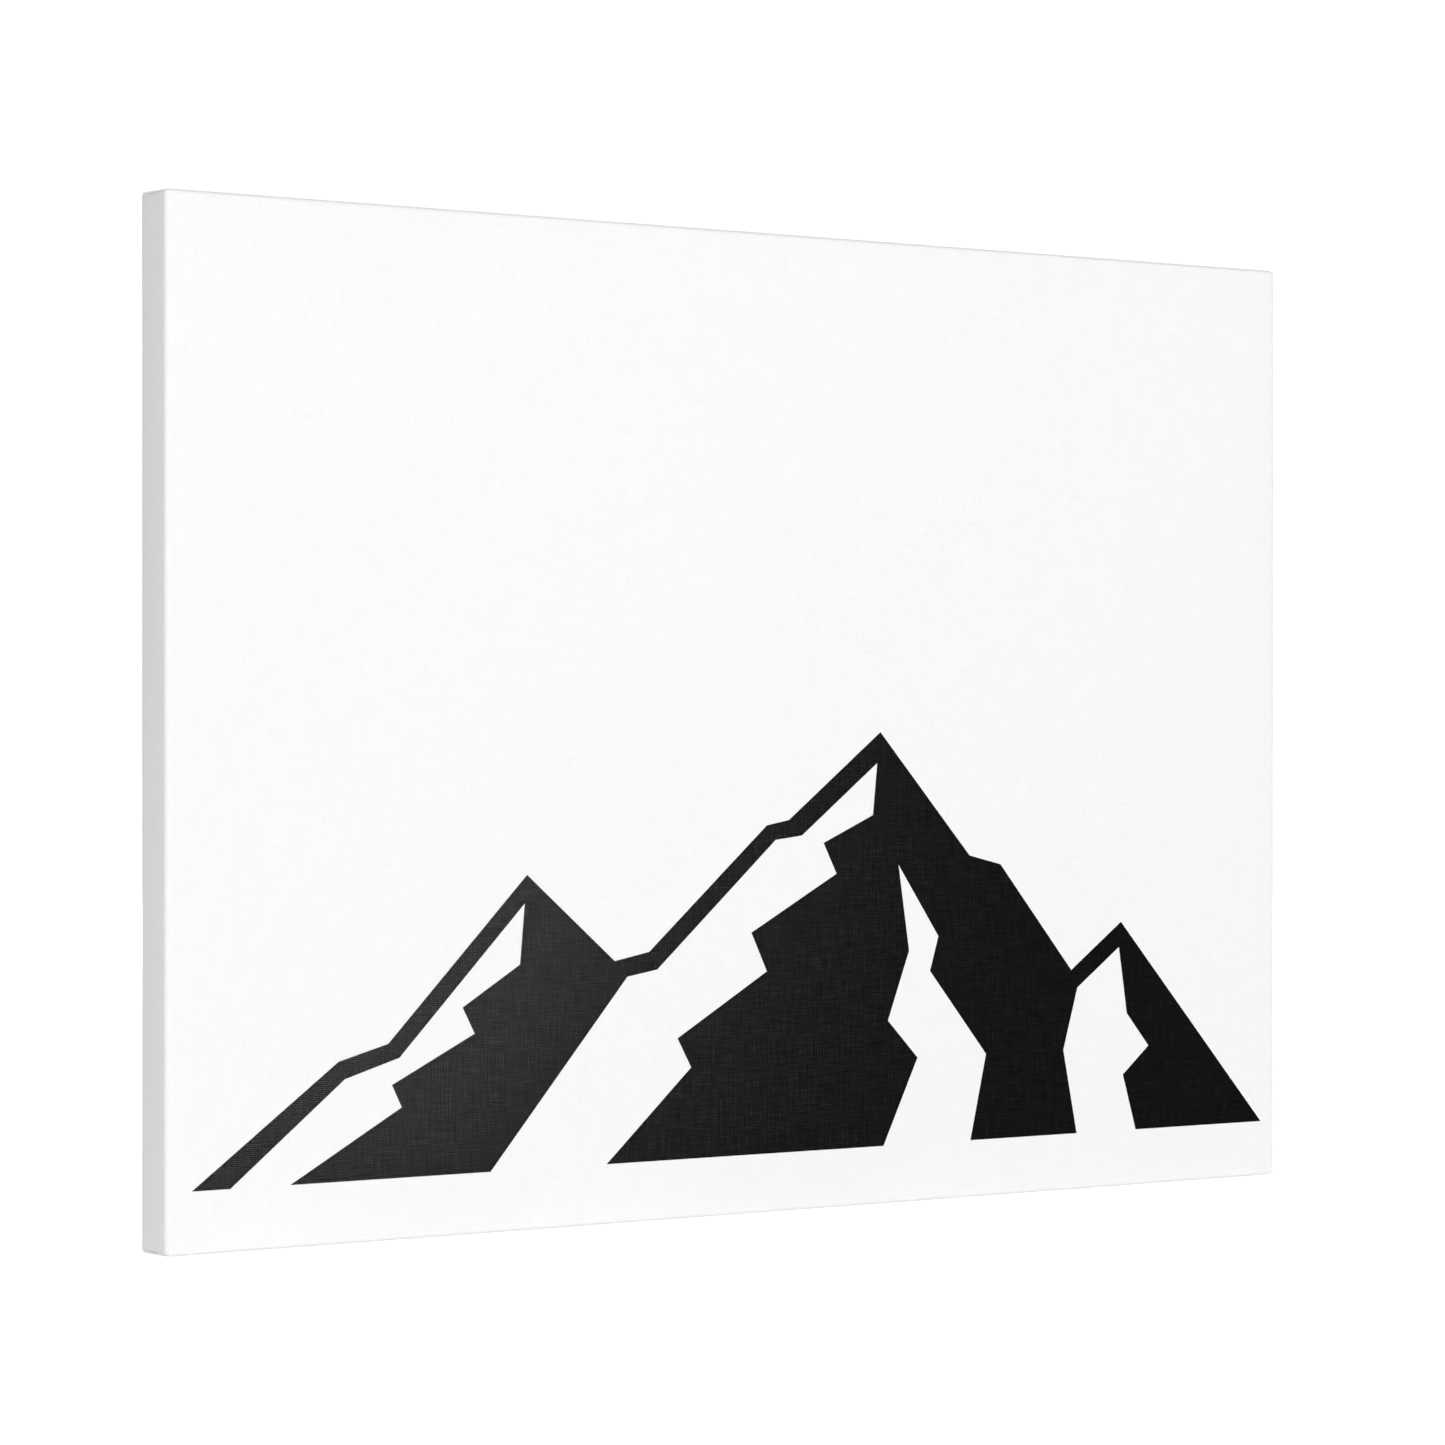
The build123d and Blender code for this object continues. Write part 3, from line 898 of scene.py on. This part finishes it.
def soft_light(name, place, size, power):
    """A square soft light aimed at the canvas."""
    data = bpy.data.lights.new(name, "AREA")
    data.size = size
    data.energy = power
    lamp = bpy.data.objects.new(name, data)
    bpy.context.scene.collection.objects.link(lamp)
    lamp.location = place
    lamp.rotation_euler = (CENTRE - Vector(place)).to_track_quat("-Z", "Y").to_euler()
    return lamp


def studio_world():
    """A white room, brightest towards ROOM_BRIGHT and dimmest away from it, in front of which
    the camera sees a plain white backdrop."""
    world = bpy.data.worlds.new("studio")
    bpy.context.scene.world = world
    world.use_nodes = True
    links = world.node_tree.links

    def node(kind):
        return world.node_tree.nodes.new("ShaderNode" + kind)

    facing = node("VectorMath")
    facing.operation = "DOT_PRODUCT"
    facing.inputs[1].default_value = Vector(ROOM_BRIGHT).normalized()
    links.new(node("TexCoord").outputs["Generated"], facing.inputs[0])
    strength = node("MapRange")
    strength.interpolation_type = "SMOOTHSTEP"
    strength.inputs["From Min"].default_value = -1.0
    strength.inputs["To Min"].default_value = ROOM_DIM
    strength.inputs["To Max"].default_value = ROOM_LIT
    links.new(facing.outputs["Value"], strength.inputs["Value"])
    room = world.node_tree.nodes["Background"]
    room.inputs["Color"].default_value = (*WHITE, 1)
    links.new(strength.outputs[0], room.inputs["Strength"])
    backdrop = node("Background")
    backdrop.inputs["Color"].default_value = (*WHITE, 1)
    backdrop.inputs["Strength"].default_value = BACKDROP
    choose = node("MixShader")
    links.new(node("LightPath").outputs["Is Camera Ray"], choose.inputs[0])
    links.new(room.outputs[0], choose.inputs[1])
    links.new(backdrop.outputs[0], choose.inputs[2])
    links.new(choose.outputs[0], world.node_tree.nodes["World Output"].inputs[0])


CAMERA_DISTANCE = 1.2748  # metres, from the middle of the front
CAMERA_BEARING = math.radians(32.57)  # to the left of straight in front
CAMERA_YAW = math.radians(31.95)
CAMERA_VIEW = math.radians(20)


def studio_camera():
    """A level camera at half the canvas's height."""
    data = bpy.data.cameras.new("camera")
    data.angle = CAMERA_VIEW
    camera = bpy.data.objects.new("camera", data)
    bpy.context.scene.collection.objects.link(camera)
    camera.location = (
        CENTRE.x - CAMERA_DISTANCE * math.sin(CAMERA_BEARING),
        FRONT - CAMERA_DISTANCE * math.cos(CAMERA_BEARING),
        CENTRE.z,
    )
    camera.rotation_euler = (math.pi / 2, 0, -CAMERA_YAW)
    bpy.context.scene.camera = camera


studio_floor()
studio_world()
soft_light("key", place=(-0.50, -2.6, 0.40), size=0.8, power=29.6)
soft_light("back", place=(0.7, 2.0, 1.1), size=1.2, power=20)
sheen = soft_light("sheen", place=(0.55, -2.0, 0.20), size=0.3, power=33)
sheen.visible_diffuse = False
studio_camera()
bpy.context.scene.view_settings.view_transform = "Standard"
